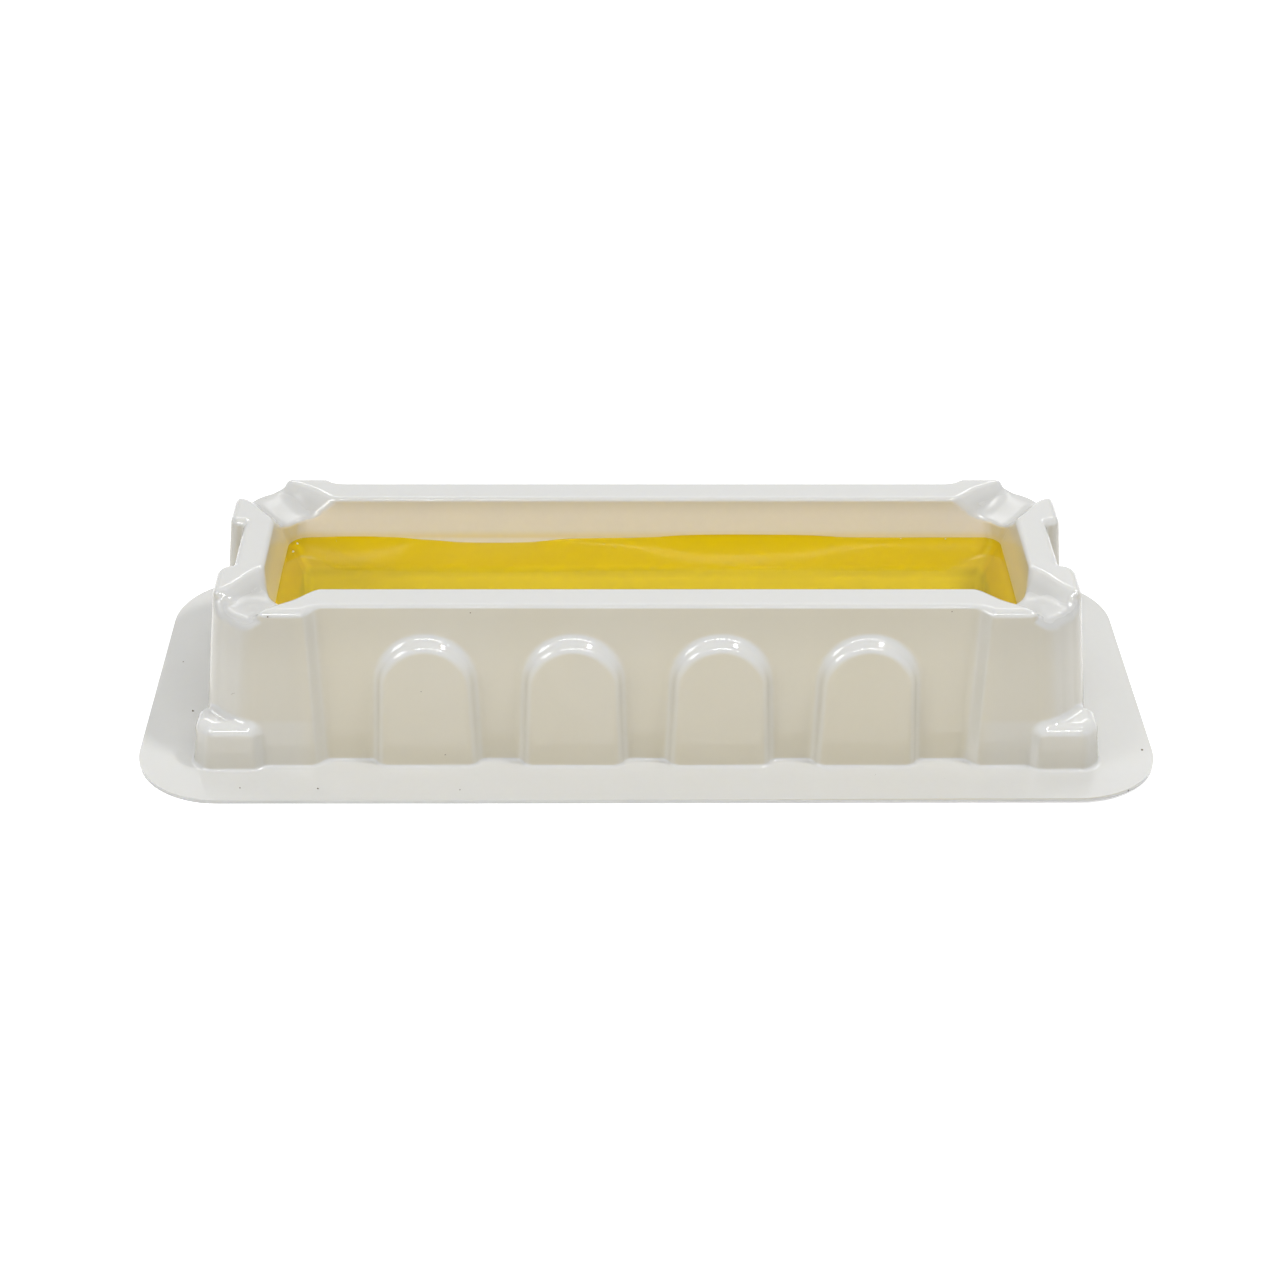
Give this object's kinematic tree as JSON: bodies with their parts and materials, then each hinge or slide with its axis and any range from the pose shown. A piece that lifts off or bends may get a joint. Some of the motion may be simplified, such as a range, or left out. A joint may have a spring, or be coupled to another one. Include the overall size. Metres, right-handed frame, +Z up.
{
  "type": "reagent reservoir",
  "caption": "Shallow laboratory trough formed from thin plastic sheet, with a flat flange, arched pads on its sides, a pour spout across each corner and a fill of yellow reagent.",
  "frame": {"origin": "middle of the flange's underside, on the bench", "axes": "+X along the tray, +Y across it, +Z up toward the rim"},
  "size_m": [0.15, 0.063, 0.0255],
  "materials": {
    "sheet": "glossy white polystyrene sheet",
    "liquid": "clear yellow liquid"
  },
  "bodies": {
    "root": {"tray": "sheet", "reagent": "liquid"}
  },
  "joints": []
}
